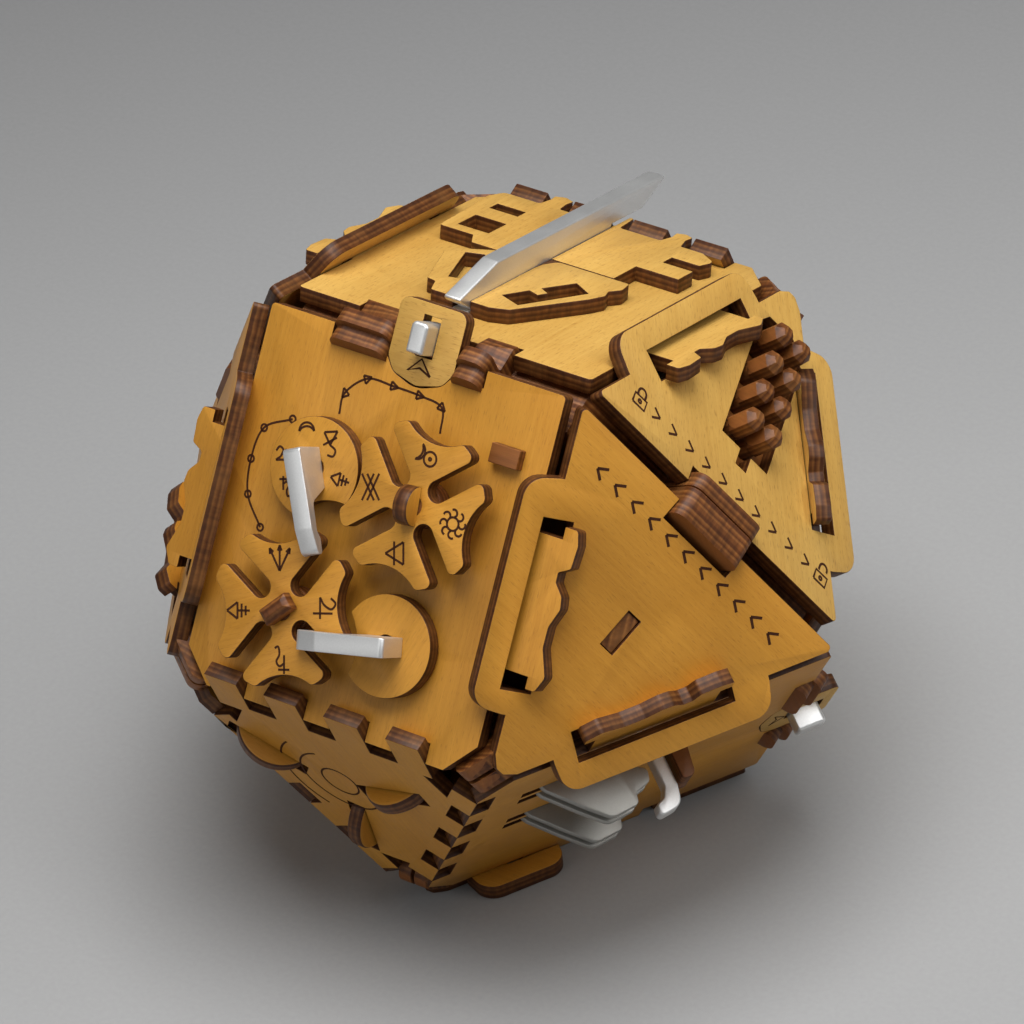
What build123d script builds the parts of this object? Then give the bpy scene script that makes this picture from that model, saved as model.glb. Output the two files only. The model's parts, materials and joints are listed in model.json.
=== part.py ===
from build123d import *
import math
import os

# Puzzle box in the shape of a triangular orthobicupola: six squares and eight triangles of
# plywood, in a lower and an upper half that twist on each other about the turning axis.
# It rests on one lower triangle. Lengths are in millimetres.

# ---- driving dimensions -------------------------------------------------------------------
EDGE = 72.0            # edge length of every square and triangle
PLY = 3.0              # plywood thickness
METAL = 3.6            # thick aluminium plate
SHEET = 1.6            # thin aluminium plate of the rocking levers
TILT = 70.5288         # angle between the turning axis and the normal of a side triangle
SLANT = 54.7356        # angle between the turning axis and the normal of a side square
RUN = 0.05             # radial clearance of a running shaft
GAP = 0.15             # clearance round a tongue, finger or tenon
INSET = 0.054 * EDGE   # a square's side edge stands back from the shared edge by this much
REACH = 0.10 * EDGE    # a triangle's slotted tab reaches past the shared edge by this much
DECK_TOP = 2.2         # top of the lower half's deck, along the turning axis
PIVOT_R = 2.0          # pivots of the wheels on the front square
SHAFT_R = 1.5          # thumb-wheel axles and lever shaft
PEG_R = 2.1            # round shank of a row peg
CAP_DIST = math.sqrt(2.0 / 3.0) * EDGE
SQUARE_DIST = math.sqrt(0.5) * EDGE


def at(value):
    """Turn a fraction of the edge length into millimetres."""
    return value * EDGE


# ---- frames of the faces ------------------------------------------------------------------
def face_plane(kind, azimuth, side):
    """Plane on a face's outer surface: x along the face, y towards the cap, z outwards."""
    turn = math.radians(azimuth)
    radial = Vector(math.cos(turn), math.sin(turn), 0)
    if kind == "cap":
        normal = Vector(0, 0, side)
        towards = Vector(1, 0, 0)
        distance = CAP_DIST
    else:
        lean = math.radians(SLANT if kind == "square" else TILT)
        normal = radial * math.sin(lean) + Vector(0, 0, side * math.cos(lean))
        towards = Vector(0, 0, side) - normal * (side * normal.Z)
        distance = SQUARE_DIST if kind == "square" else CAP_DIST
    return Plane(origin=normal * distance, x_dir=towards.cross(normal), z_dir=normal)


SQUARES = {"square_front_low": (270, -1), "square_right_low": (30, -1), "square_left_low": (150, -1),
           "square_front_up": (270, 1), "square_right_up": (30, 1), "square_left_up": (150, 1)}
TRIANGLES = {"triangle_front_low": (330, -1), "triangle_left_low": (210, -1), "triangle_rest": (90, -1),
             "triangle_front_up": (330, 1), "triangle_left_up": (210, 1), "triangle_back_up": (90, 1)}
LOW_SQUARES = [name for name, (_, half) in SQUARES.items() if half < 0]
UP_SQUARES = [name for name, (_, half) in SQUARES.items() if half > 0]
FRONT_LOW = face_plane("square", 270, -1)
FRONT_UP = face_plane("square", 270, 1)
RIGHT_LOW = face_plane("square", 30, -1)
PEG_FACE = face_plane("triangle", 330, 1)
REST_FACE = face_plane("triangle", 90, -1)
CAP_LOW = face_plane("cap", 0, -1)
CAP_UP = face_plane("cap", 0, 1)

# The finished object stands on the outer face of the rest triangle, with z = 0 there.
ROW = Location((0, 0, CAP_DIST)) * Location((0, 0, 0), (-TILT, 0, 0))


# ---- outlines -----------------------------------------------------------------------------
def rounded(corners):
    """Face from corners (x, y, radius) in fractions of the edge length."""
    points = [Vector(at(x), at(y)) for x, y, _ in corners]
    count = len(points)
    edges = []
    spans = []
    for i, (_, _, radius) in enumerate(corners):
        here = points[i]
        back = (points[i - 1] - here).normalized()
        ahead = (points[(i + 1) % count] - here).normalized()
        if radius <= 0:
            spans.append((here, here))
            continue
        half = math.radians(back.get_angle(ahead)) / 2
        size = at(radius)
        start = here + back * (size / math.tan(half))
        end = here + ahead * (size / math.tan(half))
        inward = (back + ahead).normalized()
        middle = here + inward * (size / math.sin(half) - size)
        edges.append(ThreePointArc(start, middle, end))
        spans.append((start, end))
    for i in range(count):
        start = spans[i][1]
        end = spans[(i + 1) % count][0]
        if (end - start).length > 1e-4:
            edges.append(Line(start, end))
    return make_face(Wire(edges))


def sharp(corners):
    """Face from plain corners (x, y) in fractions of the edge length."""
    return rounded([(x, y, 0) for x, y in corners])


def slab(face, top=0.0, thick=PLY):
    """Plate of a flat outline whose outer side is at height top."""
    return Pos(0, 0, top - thick) * extrude(face, thick)


def bar(x0, x1, y0, y1, low, high):
    """Box with x and y in fractions of the edge length and heights in millimetres."""
    size = (at(x1 - x0), at(y1 - y0), high - low)
    return Pos(at(x0 + x1) / 2, at(y0 + y1) / 2, (low + high) / 2) * Box(*size)


def flip(corners):
    """Mirror a list of corners left to right, keeping them in order round the outline."""
    return [(-corner[0],) + tuple(corner[1:]) for corner in reversed(corners)]


def ring_of(count):
    """Turns about the turning axis, a third of a circle apart."""
    return [Location((0, 0, 0), (0, 0, 120 * i)) for i in range(count)]


# ---- squares: tongues on both sides, notches for the cap's fingers ------------------------
TONGUE = [(0.446, -0.150, 0), (0.535, -0.150, 0), (0.535, -0.182, 0), (0.572, -0.182, 0.010),
          (0.582, -0.145, 0.020), (0.578, -0.085, 0.010), (0.546, -0.068, 0.006), (0.546, -0.042, 0.010),
          (0.572, -0.012, 0.020), (0.577, 0.020, 0.020), (0.556, 0.070, 0.030), (0.556, 0.125, 0.030),
          (0.582, 0.195, 0.020), (0.562, 0.236, 0.010), (0.535, 0.236, 0), (0.535, 0.205, 0), (0.446, 0.205, 0)]
FINGERS = [(-0.31, -0.21), (-0.125, -0.02), (0.065, 0.165), (0.25, 0.35)]
SLOT_LOW, SLOT_HIGH = 0.308, 0.752     # slot's ends, from the equator vertex along the edge
TAB_LOW, TAB_HIGH = 0.205, 0.815       # tab's ends, the same way


def square_outline(low, flush_side=0):
    """Square with its tongues; flush_side is -1 or 1 for a side whose tongue is cut short."""
    body = rounded([(-0.446, low, 0.012), (0.446, low, 0.012), (0.446, 0.415, 0), (0.365, 0.5, 0),
                    (-0.365, 0.5, 0), (-0.446, 0.415, 0)])
    short = [(0.44, -0.150, 0), (0.5, -0.150, 0), (0.5, 0.205, 0), (0.44, 0.205, 0)]
    for side in (-1, 1):
        corners = short if side == flush_side else [(0.44, -0.150, 0)] + TONGUE[1:-1] + [(0.44, 0.205, 0)]
        body += rounded(corners if side > 0 else flip(corners))
    return body


def finger_notches(mirror):
    """Cutter for the fingers of the cap, through the square's cap edge."""
    depth = 0.5 - (3.68 + GAP) / EDGE
    play = GAP / EDGE
    cutters = []
    for first, last in FINGERS:
        low, high = (-last, -first) if mirror else (first, last)
        cutters.append(bar(low - play, high + play, depth, 0.56, -PLY - 1, 1))
    return cutters


def pointer_recess():
    """Ogee recess round the rounded end of a pointer plate, with the knuckle notches."""
    play = GAP / EDGE
    ogee = rounded([(-0.120 - play, -0.60, 0), (0.080 + play, -0.60, 0), (0.080 + play, -0.455, 0.0),
                    (0.055, -0.418, 0.05), (-0.02, -0.392, 0.09), (-0.095, -0.418, 0.05),
                    (-0.120 - play, -0.455, 0.0)])
    cutters = [slab(ogee, 1, PLY + 2)]
    cutters.append(bar(0.080, 0.250 + play, -0.60, -0.447, -PLY - 1, 1))
    cutters.append(bar(-0.210 - play, -0.120, -0.60, -0.447, -PLY - 1, 1))
    return cutters


def build_square(name):
    """One square panel with everything that is cut through it, in its face's frame."""
    azimuth, side = SQUARES[name]
    plane = face_plane("square", azimuth, side)
    flush = {"square_right_low": -1, "square_left_low": 1}.get(name, 0)
    panel = slab(square_outline(-0.492 if side < 0 else -0.390, flush))
    for cutter in finger_notches(side > 0):
        panel -= cutter
    if side < 0:
        for cutter in pointer_recess():
            panel -= cutter
    else:
        for low, high in ((-0.255, -0.075), (0.115, 0.215)):
            panel -= bar(low, high, -0.42, -0.345, -PLY - 1, 1)
    if name == "square_front_low":
        for x, y in STARS + DISCS:
            panel -= Pos(at(x), at(y), 0) * Cylinder(PIVOT_R, 20)
    if name == "square_front_up":
        for low, high in FIN_SLOTS:
            panel -= bar(FIN_X - 0.0265, FIN_X + 0.0265, low, high, -PLY - 1, 1)
    if name == "square_right_low":
        for x in LEVERS:
            wide = (SHEET / 2 + 0.35) / EDGE
            panel -= bar(x - wide, x + wide, 0.005, 0.352, -PLY - 1, 1)
        panel -= bar(HOOK_X - 0.0265, HOOK_X + 0.0265, HOOK_Y[0] - 0.002, HOOK_Y[1] + 0.075, -PLY - 1, 1)
    solid = plane.location * panel
    return trim_rest(solid) if flush else solid


# ---- triangles: slotted tabs over the squares beside them ---------------------------------
REST_TAB_LOW, REST_TAB_HIGH = 0.600, 0.860   # shorter tab of the triangle that the object rests on


def triangle_side(mirror, tab_low, tab_high):
    """Tab and slot along one side edge: the tab's outline and the slot's outline."""
    foot = Vector(0.5, -0.288675)
    along = Vector(-0.5, 0.866025)
    out = Vector(0.866025, 0.5)
    reach = REACH / EDGE

    def spot(distance, offset):
        point = foot + along * distance + out * offset
        return (point.X, point.Y)

    tab = [spot(tab_low, -0.02) + (0,), spot(tab_low, 0.012) + (0.01,), spot(tab_low + 0.012, reach) + (0.055,),
           spot(tab_high - 0.012, reach) + (0.055,), spot(tab_high, 0.012) + (0.01,), spot(tab_high, -0.02) + (0,)]
    slot = [spot(SLOT_LOW, 2.27 / EDGE), spot(SLOT_HIGH, 2.27 / EDGE),
            spot(SLOT_HIGH, -3.85 / EDGE), spot(SLOT_LOW, -3.85 / EDGE)]
    slot = [corner + (0,) for corner in slot]
    return (flip(tab), flip(slot)) if mirror else (tab, slot)


def build_triangle(name):
    """One triangle panel in its face's frame, moved into place."""
    azimuth, side = TRIANGLES[name]
    plane = face_plane("triangle", azimuth, side)
    low = -0.275 if side < 0 else -0.236
    half = 0.5 - (low + 0.288675) / 1.73205
    outline = rounded([(-half, low, 0.012), (half, low, 0.012), (0.042, 0.5045, 0), (0.012, 0.530, 0.01),
                       (-0.012, 0.530, 0.01), (-0.042, 0.5045, 0)])
    slots = []
    tab_ends = (REST_TAB_LOW, REST_TAB_HIGH) if name == "triangle_rest" else (TAB_LOW, TAB_HIGH)
    for mirror in (False, True):
        tab, slot = triangle_side(mirror, *tab_ends)
        outline += rounded(tab)
        slots.append(slab(rounded(slot), 1, PLY + 2))
    panel = slab(outline)
    for slot in slots:
        panel -= slot
    knuckle = -0.213 if side < 0 else -0.189
    panel -= bar(-0.121, 0.121, -0.5, knuckle, -PLY - 1, 1)
    if name == "triangle_front_low":
        panel -= bar(-0.0235, 0.0235, 0.015, 0.125, -PLY - 1, 1)
    if name == "triangle_front_up":
        panel -= slab(sharp(PEG_WINDOW), 1, PLY + 2)
    return plane.location * panel


def trim_rest(solid):
    """Cut away whatever would reach past the plane the object rests on."""
    block = Pos(0, 0, 20) * Box(400, 400, 40)
    return solid - REST_FACE.location * block


# ---- caps ---------------------------------------------------------------------------------
def build_cap(side):
    """Cap triangle whose fingers come out through the notches of the three squares."""
    inner = 0.288675 - INSET / EDGE
    corner = []
    for i in range(3):
        turn = math.radians(60 + 120 * i)
        for swing in (-1, 1):
            spread = swing * math.radians(49)
            radius = inner / math.cos(spread)
            corner.append((radius * math.cos(turn + spread), radius * math.sin(turn + spread)))
    outline = sharp(corner)
    for i in range(3):
        turn = 60 + 120 * i
        reach = 0.288675 if side < 0 and i > 0 else 0.288675 + 0.062
        for first, last in FINGERS:
            low, high = (first, last) if side < 0 else (-last, -first)
            finger = sharp([(inner - 0.02, low), (reach, low), (reach, high), (inner - 0.02, high)])
            outline += Rot(0, 0, turn) * finger
    return slab(outline)


def cap_finger_turn(plane):
    """Angle that lays finger row 0 against the front square of that half."""
    towards = plane.to_local_coords(Vector(0, -1, 0) + plane.origin)
    return math.degrees(math.atan2(towards.Y, towards.X)) - 60


WHEELS = [(-0.045, -0.262, 62), (-0.030, 0.125, 110), (0.222, -0.055, -8)]
WHEEL_R = 8.2
WHEEL_DEEP = PLY + SHAFT_R + 0.35


def lay_cap(side):
    """Cap in place with the thumb-wheel slots of the lower one."""
    plane = CAP_LOW if side < 0 else CAP_UP
    panel = Rot(0, 0, cap_finger_turn(plane)) * build_cap(side)
    if side < 0:
        half = math.sqrt(WHEEL_R ** 2 - (WHEEL_DEEP - PLY) ** 2) + 0.5
        for x, y, turn in WHEELS:
            panel -= Pos(at(x), at(y), 0) * Rot(0, 0, turn) * Box(2 * half, PLY + 0.7, 20)
    return plane.location * panel


def thumb_wheel(index):
    """Thumb wheel standing through the lower cap, with an eased rim."""
    x, y, turn = WHEELS[index]
    wheel = Cylinder(WHEEL_R, PLY)
    wheel = Rot(90, 0, 0) * fillet(wheel.edges().filter_by(GeomType.CIRCLE), 0.6)
    wheel -= Rot(90, 0, 0) * Cylinder(SHAFT_R + RUN, PLY + 1)
    return CAP_LOW.location * (Pos(at(x), at(y), -WHEEL_DEEP) * Rot(0, 0, turn) * wheel)


def thumb_axles():
    """Axles of the thumb wheels, each held by two blocks glued under the cap."""
    solids = []
    blocks = Pos(0, 0, -PLY - 50) * Box(300, 300, 100)
    for x, y, turn in WHEELS:
        axle = Rot(90, 0, 0) * Cylinder(SHAFT_R, 9.0)
        for swing in (-1, 1):
            block = Pos(0, swing * 3.6, -SHAFT_R / 2 - 0.1) * Box(7.0, 3.0, 2 * (WHEEL_DEEP - PLY) + SHAFT_R + 0.2)
            axle += block
        solid = CAP_LOW.location * (Pos(at(x), at(y), -WHEEL_DEEP) * Rot(0, 0, turn) * axle & blocks)
        for name in LOW_SQUARES:
            solid -= NODES[name]
        solids.append(solid.solids().sort_by(SortBy.VOLUME)[-1])
    return Compound(children=solids)


# ---- decks at the equator -----------------------------------------------------------------
def hexagon(apothem):
    """Hexagon across the turning axis with flats towards the squares and triangles."""
    return RegularPolygon(radius=apothem, side_count=6, major_radius=False, rotation=0)


def knuckles(spans, azimuths, inner, reach):
    """Tabs reaching out of a deck between the panels, in fractions along the edge."""
    tabs = []
    for azimuth in azimuths:
        for low, high in spans:
            tab = rounded([(inner / EDGE, low, 0), (reach, low, 0.03), (reach, high, 0.03), (inner / EDGE, high, 0)])
            tabs.append(Rot(0, 0, azimuth) * tab)
    return tabs


SQUARE_KNUCKLES = [(-0.248, -0.080), (0.120, 0.208)]
FLUSH_REACH = 0.858    # reach of the knuckles on the left triangles, flush with the panels
SWING_R = 60.0         # the upper knuckles swing inside this radius, behind the pointers


def deck(low, apothem, square_reach, triangle_reach):
    """One deck plate with its knuckles and the bore for the turning axle."""
    face = hexagon(apothem)
    if square_reach:
        for tab in knuckles(SQUARE_KNUCKLES, (270, 30, 150), apothem - 3, square_reach):
            face += tab
    for azimuth, reach in ((330, triangle_reach), (210, FLUSH_REACH), (90, triangle_reach)):
        for tab in knuckles([(-0.118, 0.118)], (azimuth,), apothem - 3, reach):
            face += tab
    plate = Pos(0, 0, low) * extrude(face, PLY)
    return trim_rest(plate)


def upper_knuckles(low):
    """Two-ply knuckles on the upper deck that stand in the notches of the upper squares."""
    solid = None
    for tab in knuckles(SQUARE_KNUCKLES, (270, 30, 150), 50.0, 0.889):
        block = Pos(0, 0, low) * extrude(tab, 2 * PLY)
        solid = block if solid is None else solid + block
    solid &= Cylinder(SWING_R, 60)
    for name in UP_SQUARES:
        outside = Pos(0, 0, 0.8 + 20) * Box(400, 400, 40)
        solid -= face_plane("square", *SQUARES[name]).location * outside
        solid -= NODES[name]
    return solid


AXLE_R = 6.0


def pointer(index):
    """Pointer plate riding on the lower half, standing over the gap between the halves."""
    plate = rounded([(-0.120, -0.455, 0.035), (-0.095, -0.418, 0.04), (-0.02, -0.3985, 0.05), (0.055, -0.418, 0.04),
                     (0.080, -0.455, 0.035), (0.080, -0.612, 0.028), (-0.120, -0.612, 0.028)])
    solid = slab(plate)
    solid -= bar(KNOB_X - 0.0255, KNOB_X + 0.0255, -0.580, -0.475, -PLY - 1, 1)
    return ring_of(3)[index] * (FRONT_LOW.location * solid)


KNOB_X = -0.022
KNOB_Y = (-0.565, -0.483)


def knob(index):
    """Latch knob that slides in the slot of a pointer plate."""
    half = 0.0255 - 0.05 / EDGE
    block = bar(KNOB_X - half, KNOB_X + half, KNOB_Y[0], KNOB_Y[1], -PLY, at(0.056))
    block = fillet(block.edges().filter_by(Axis.Z).group_by(Axis.Y)[0], 1.0)
    block = chamfer(block.faces().sort_by(Axis.Z)[-1].edges(), 0.4)
    return ring_of(3)[index] * (FRONT_LOW.location * block)


# ---- plates at the corners of the caps ----------------------------------------------------
def corner_posts(side):
    """Pairs of rounded plates in the corners where a triangle, two squares and a cap meet."""
    posts = []
    half = "low" if side < 0 else "up"
    for i in range(3):
        azimuth = 330 + 120 * i
        turn = math.radians(azimuth)
        corner = Vector(at(0.57735) * math.cos(turn), at(0.57735) * math.sin(turn), side * CAP_DIST)
        across = Vector(-math.sin(turn), math.cos(turn), 0)
        plane = Plane(origin=corner, x_dir=across, z_dir=corner.normalized())
        for swing in (-1, 1):
            body = Box(2.7, at(0.15), 9.0)
            body = fillet(body.edges().filter_by(Axis.X).group_by(Axis.Z)[-1], 2.5)
            solid = plane.location * (Pos(swing * 1.75, 0, -8.2) * body)
            for name, (where, way) in list(SQUARES.items()) + list(TRIANGLES.items()):
                if way == side and abs((where - azimuth + 180) % 360 - 180) <= 61:
                    solid -= NODES[name]
            solid = trim_rest(solid - NODES[f"cap_{half}"])
            posts.append(solid.solids().sort_by(SortBy.VOLUME)[-1])
    return posts


# ---- wheels on the front square -----------------------------------------------------------
STARS = [(-0.147, -0.125), (0.148, 0.232)]
STAR_TURNS = [-5.0, 18.0]
KEY_TURNS = [95.0, 48.0]
DISCS = [(0.182, -0.128), (-0.145, 0.242)]
LEVER_TURNS = [115.0, 12.0]
STAR_R = 0.212
DISC_R = 0.131
LEVEL_1 = 0.35
LEVEL_2 = LEVEL_1 + PLY + 0.35


def wheel_pivots():
    """Four dowels glued into the front square, one under each wheel, with a stand for the stars."""
    dowels = []
    for i, (x, y) in enumerate(STARS + DISCS):
        top = LEVEL_2 + PLY - 0.3 if i < 2 else LEVEL_1 + PLY - 0.6
        dowel = Pos(0, 0, (top - PLY) / 2) * Cylinder(PIVOT_R, top + PLY)
        dowel += Pos(0, 0, -PLY - 1.0) * Cylinder(PIVOT_R + 1.6, 2.0)
        if i < 2:
            dowel += Pos(0, 0, (LEVEL_2 - 0.15) / 2) * Cylinder(PIVOT_R + 2.2, LEVEL_2 - 0.15)
        dowels.append(FRONT_LOW.location * (Pos(at(x), at(y), 0) * dowel))
    return Compound(children=dowels)


def star_wheel(index):
    """Four-slot star: radial slots and hollow arcs that match the locking disc."""
    face = Circle(at(STAR_R))
    for i in range(4):
        turn = 90 * i
        slot = Pos(at(0.082 + 0.1), 0) * Rectangle(at(0.2), at(0.056))
        slot += Pos(at(0.082), 0) * Circle(at(0.028))
        face -= Rot(0, 0, turn + 45) * slot
        face -= Rot(0, 0, turn) * (Pos(at(0.302), 0) * Circle(at(0.136)))
    corners = [v for v in face.vertices() if Vector(v.X, v.Y).length > at(0.17)]
    face = fillet(corners, 1.25)
    solid = extrude(face, PLY)
    solid -= Cylinder(PIVOT_R + RUN, 20)
    x, y = STARS[index]
    return FRONT_LOW.location * (Pos(at(x), at(y), LEVEL_2) * Rot(0, 0, STAR_TURNS[index]) * solid)


def hub_key(index):
    """Turning key glued on a star: a half-round plate on one, a faceted bar on the other."""
    x, y = STARS[index]
    if index == 0:
        profile = make_face(Wire([ThreePointArc((-3.6, 0), (0, 4.2), (3.6, 0)), Line((3.6, 0), (-3.6, 0))]))
        key = Pos(0, PLY / 2, 0) * Rot(90, 0, 0) * extrude(profile, PLY)
    else:
        key = Pos(0, 0, 1.5) * Box(6.2, 3.4, 3.0)
        key = chamfer(key.edges().filter_by(Axis.X).group_by(Axis.Z)[-1], 1.1)
        key = chamfer(key.edges().group_by(Axis.Z)[-1].filter_by(Axis.Y), 0.9)
    return FRONT_LOW.location * (Pos(at(x), at(y), LEVEL_2 + PLY) * Rot(0, 0, KEY_TURNS[index]) * key)


def crank_disc(index):
    """Round disc with a notch facing its arm, and a slot in which the arm stands."""
    face = Circle(at(DISC_R))
    face -= Pos(at(0.235), 0) * Circle(at(0.150))
    solid = extrude(face, PLY)
    solid -= Pos(0, 0, 0.5) * Cylinder(PIVOT_R + RUN, 2 * PLY - 1.0)
    x, y = DISCS[index]
    return FRONT_LOW.location * (Pos(at(x), at(y), LEVEL_1) * Rot(0, 0, LEVER_TURNS[index]) * solid)


def crank_arm(index):
    """Aluminium arm standing on its disc and reaching over the star, hooked down at its tip."""
    tops = 10.5
    foot = LEVEL_1 + PLY
    clear = LEVEL_2 + PLY + 0.3
    profile = rounded([(x, height / EDGE, r) for x, height, r in (
        (-0.050, foot, 0), (-0.050, tops, 0.012), (0.155, tops - 0.7, 0.04), (0.220, tops - 1.9, 0.020),
        (0.224, clear, 0.008), (0.182, clear, 0.008), (0.164, clear + 0.9, 0.010), (0.090, clear + 0.9, 0.02),
        (0.055, foot, 0))])
    plate = Pos(0, METAL / 2, 0) * Rot(90, 0, 0) * extrude(profile, METAL)
    x, y = DISCS[index]
    return FRONT_LOW.location * (Pos(at(x), at(y), 0) * Rot(0, 0, LEVER_TURNS[index]) * plate)


def front_pegs():
    """Small peg standing on the front square and the tenon in the front triangle's hole."""
    peg = FRONT_LOW.location * bar(-0.375, -0.290, -0.331, -0.281, 0, 2.1)
    tenon = face_plane("triangle", 330, -1).location * bar(-0.0215, 0.0215, 0.017, 0.123, -PLY - 2, -0.5)
    return Compound(children=[peg, tenon])


# ---- fin and overlay plates on the upper front square -------------------------------------
FIN_X = -0.033
FIN_SLOTS = [(-0.292, -0.098), (0.06, 0.254)]
FIN_FEET = [(-0.290, -0.192), (0.062, 0.160)]
OVER = PLY


def fin():
    """Long aluminium fin that slides along the upper front square between the overlays."""
    top = at(0.112)
    outline = rounded([(x, h / EDGE, r) for x, h, r in (
        (-0.300, OVER + 0.3, 0.006), (-0.312, OVER + 1.2, 0.006), (-0.140, top, 0.03), (0.665, top, 0.006),
        (0.545, OVER + 0.5, 0.006), (0.400, OVER + 0.5, 0.0), (0.385, 0.25, 0), (-0.225, 0.25, 0))])
    plate = Pos(at(FIN_X) - METAL / 2, 0, 0) * Rot(0, 0, 90) * Rot(90, 0, 0) * extrude(outline, METAL)
    for low, high in FIN_FEET:
        plate += bar(FIN_X - METAL / 2 / EDGE, FIN_X + METAL / 2 / EDGE, low, high, -PLY - 1.5, 1.0)
    return FRONT_UP.location * plate


def overlay(index):
    """Raised plates with cut-outs beside the fin: right low, right high, left low, left high."""
    side = 0.0265
    right = FIN_X + side
    left = FIN_X - side
    if index == 0:
        face = rounded([(right, 0.107, 0), (0.236, 0.107, 0.01), (0.244, 0.060, 0.02), (0.222, 0.030, 0.01),
                        (0.232, 0.000, 0.02), (0.214, -0.045, 0.02), (0.098, -0.240, 0.02), (0.050, -0.262, 0.02),
                        (right, -0.262, 0)])
        face -= sharp([(0.131, 0.020), (0.192, -0.018), (0.098, -0.200), (0.030, -0.172), (0.066, -0.100),
                       (0.098, -0.112), (0.112, -0.085), (0.082, -0.068)])
    elif index == 1:
        face = rounded([(right, 0.111, 0), (0.185, 0.111, 0), (0.185, 0.217, 0), (0.314, 0.217, 0), (0.314, 0.287, 0),
                        (0.222, 0.287, 0), (0.222, 0.330, 0), (0.306, 0.330, 0), (0.322, 0.375, 0.02),
                        (0.268, 0.408, 0.02), (0.200, 0.408, 0.008), (0.188, 0.450, 0.01), (0.192, 0.478, 0.006),
                        (0.167, 0.488, 0.01), (0.142, 0.478, 0.006), (0.147, 0.450, 0.01), (0.136, 0.408, 0.008),
                        (0.012, 0.408, 0.01), (0.006, 0.485, 0.004), (right, 0.485, 0)])
    elif index == 2:
        face = rounded([(left, 0.062, 0), (-0.150, 0.062, 0), (-0.235, 0.005, 0.01), (-0.245, -0.030, 0.01),
                        (-0.178, -0.205, 0.01), (-0.150, -0.210, 0.01), (-0.128, -0.262, 0.01), (left, -0.262, 0)])
        face -= sharp([(-0.198, 0.000), (-0.150, 0.020), (-0.100, -0.150), (-0.140, -0.165)])
    else:
        face = rounded([(left, 0.408, 0), (-0.176, 0.408, 0.008), (-0.182, 0.450, 0.01), (-0.178, 0.476, 0.006),
                        (-0.207, 0.488, 0.01), (-0.236, 0.476, 0.006), (-0.232, 0.450, 0.01), (-0.240, 0.408, 0.008),
                        (-0.350, 0.408, 0.02), (-0.372, 0.360, 0.02), (-0.355, 0.110, 0.01), (-0.250, 0.110, 0), (-0.225, 0.066, 0),
                        (left, 0.066, 0)])
        face -= sharp([(-0.320, 0.292), (-0.232, 0.292), (-0.232, 0.330), (-0.320, 0.330)])
        face -= sharp([(-0.320, 0.145), (-0.225, 0.145), (-0.225, 0.228), (-0.320, 0.228)])
    return FRONT_UP.location * slab(face, OVER, PLY)


# ---- row of pegs on the upper front triangle ----------------------------------------------
PEG_WINDOW = [(-0.070, 0.372), (-0.044, 0.408), (0.052, 0.408), (0.106, 0.345), (0.106, -0.020), (0.042, -0.020),
              (0.042, -0.072), (0.002, -0.072), (0.002, -0.020), (-0.070, -0.020)]
PEG_SPOTS = [(x, y) for x in (-0.032, 0.038) for y in (0.326, 0.226, 0.126, 0.026)]
PEG_HEAD = 2.5


def peg_rack():
    """Plate behind the window of the upper front triangle, bored for the pegs."""
    face = rounded([(-0.120, -0.105, 0.02), (0.148, -0.105, 0.02), (0.148, 0.262, 0), (0.092, 0.360, 0.01),
                    (0.070, 0.385, 0.01), (-0.050, 0.385, 0.01), (-0.120, 0.270, 0)])
    plate = slab(face, -PLY, PLY)
    for x, y in PEG_SPOTS:
        plate -= Pos(at(x), at(y), 0) * Cylinder(PEG_R + RUN, 30)
    return PEG_FACE.location * plate


def row_peg(index):
    """Faceted peg that slides in and out of the rack."""
    x, y = PEG_SPOTS[index]
    shank = Pos(0, 0, -(2 * PLY + 0.2) / 2) * Cylinder(PEG_R, 2 * PLY + 0.2)
    lower = Pos(0, 0, -0.2) * extrude(RegularPolygon(radius=PEG_HEAD, side_count=6), at(0.062) + 0.2)
    top = loft([Pos(0, 0, at(0.062)) * RegularPolygon(radius=PEG_HEAD, side_count=6),
                Pos(0, 0, at(0.082)) * RegularPolygon(radius=PEG_HEAD / 2, side_count=6)])
    return PEG_FACE.location * (Pos(at(x), at(y), 0) * (shank + lower + top))


# ---- levers and hook on the lower right square --------------------------------------------
LEVERS = [-0.012, 0.038, 0.198, 0.248]
LEVER_PIVOT = (0.175, -0.150)
HOOK_X = 0.118
HOOK_Y = (-0.073, -0.037)


def rocking_lever(index):
    """Thin curved aluminium lever that comes out through a slot and rocks on the common shaft."""
    x = LEVERS[index]
    vy, vh = LEVER_PIVOT
    outline = rounded([(0.302, 0.0, 0.05), (0.222, 0.082, 0.06), (0.160, 0.140, 0.03), (0.082, 0.132, 0.015),
                       (0.074, 0.100, 0.010), (0.030, 0.088, 0.016), (0.022, 0.055, 0.016), (0.060, 0.030, 0.02),
                       (0.060, -0.060, 0.03), (vy - 0.065, vh - 0.04, 0.04), (vy + 0.065, vh - 0.04, 0.04),
                       (0.300, -0.060, 0.03)])
    plate = Pos(-SHEET / 2, 0, 0) * Rot(0, 0, 90) * Rot(90, 0, 0) * extrude(outline, SHEET)
    plate -= Pos(0, at(vy), at(vh)) * Rot(0, 90, 0) * Cylinder(SHAFT_R + RUN, 10)
    return RIGHT_LOW.location * (Pos(at(x), 0, 0) * plate)


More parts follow.
